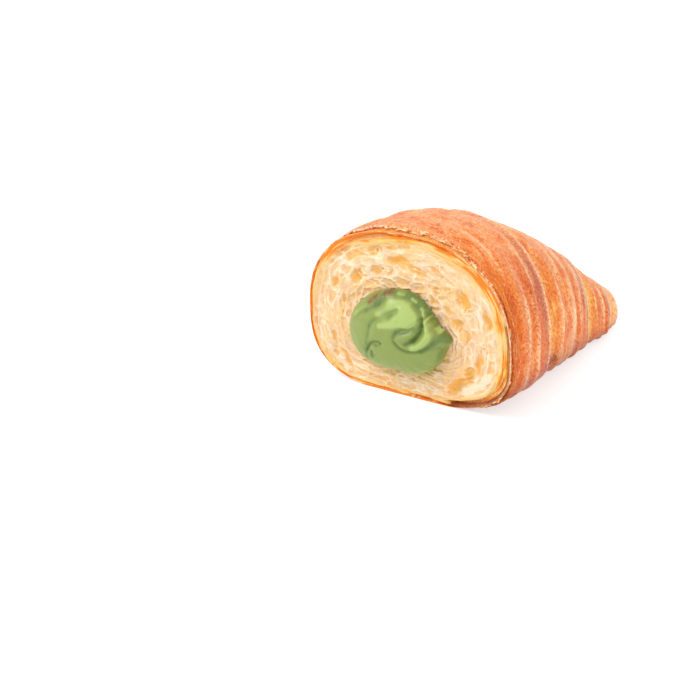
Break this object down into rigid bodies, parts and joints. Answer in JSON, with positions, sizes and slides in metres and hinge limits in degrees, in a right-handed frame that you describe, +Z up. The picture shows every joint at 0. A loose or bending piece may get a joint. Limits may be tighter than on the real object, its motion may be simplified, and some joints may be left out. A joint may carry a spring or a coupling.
{
  "type": "croissant half filled with pistachio cream",
  "caption": "Half of a croissant, cut across: rolled flaky crust tapering to a rounded point, pale airy crumb, and a swirl of pistachio cream that bulges from the cut.",
  "frame": {"origin": "middle of the object's outline on the surface it rests on", "axes": "+Z up from the baked base; the cut face with the cream looks along -Y; the pointed end lies towards +Y and leans to +X"},
  "size_m": [0.0722, 0.1032, 0.0529],
  "materials": {
    "baked_dough": "satin, baked",
    "pistachio_cream": "soft sheen"
  },
  "bodies": {
    "root": {"pastry": "baked_dough", "pistachio_cream": "pistachio_cream"}
  },
  "joints": []
}
